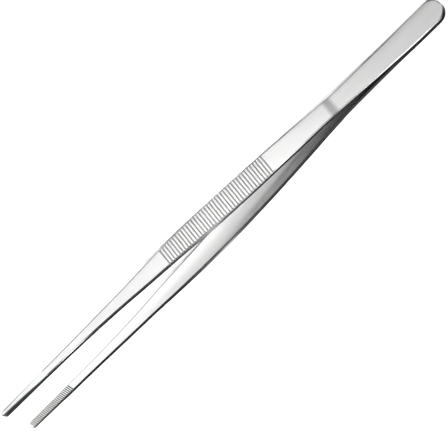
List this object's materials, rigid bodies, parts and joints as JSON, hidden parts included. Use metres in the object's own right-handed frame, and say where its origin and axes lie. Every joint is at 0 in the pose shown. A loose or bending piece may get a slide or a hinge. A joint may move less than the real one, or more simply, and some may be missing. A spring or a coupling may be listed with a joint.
{
  "type": "aquascaping tweezers",
  "caption": "Long straight stainless steel planting tweezers with a ribbed finger grip and slant-toothed jaws.",
  "frame": {"origin": "middle of the bounding box, on the plane that the side edges of the arms rest on", "axes": "+X from the welded head to the tips, +Y the way the left arm opens, +Z across the width of the arms, up"},
  "size_m": [0.3, 0.031, 0.013],
  "materials": {
    "satin_steel": "satin polished stainless steel, fine lengthwise grain",
    "weld_steel": "dull fused steel inside the joint"
  },
  "bodies": {
    "head": {"left_arm_head": "satin_steel", "right_arm_head": "satin_steel", "spot_weld_1": "weld_steel", "spot_weld_2": "weld_steel"},
    "left_arm": {"left_arm": "satin_steel"},
    "right_arm": {"right_arm": "satin_steel"}
  },
  "joints": [
    {"name": "left_arm_flex", "type": "hinge", "parent": "head", "child": "left_arm", "pos_m": [-0.0935, 0.0023, 0.0065], "axis": [0, 0, -1], "range_deg": [0, 3], "stiffness_Nm_per_rad": 13},
    {"name": "right_arm_flex", "type": "hinge", "parent": "head", "child": "right_arm", "pos_m": [-0.0935, -0.0023, 0.0065], "axis": [0, 0, 1], "range_deg": [0, 3], "stiffness_Nm_per_rad": 13}
  ]
}
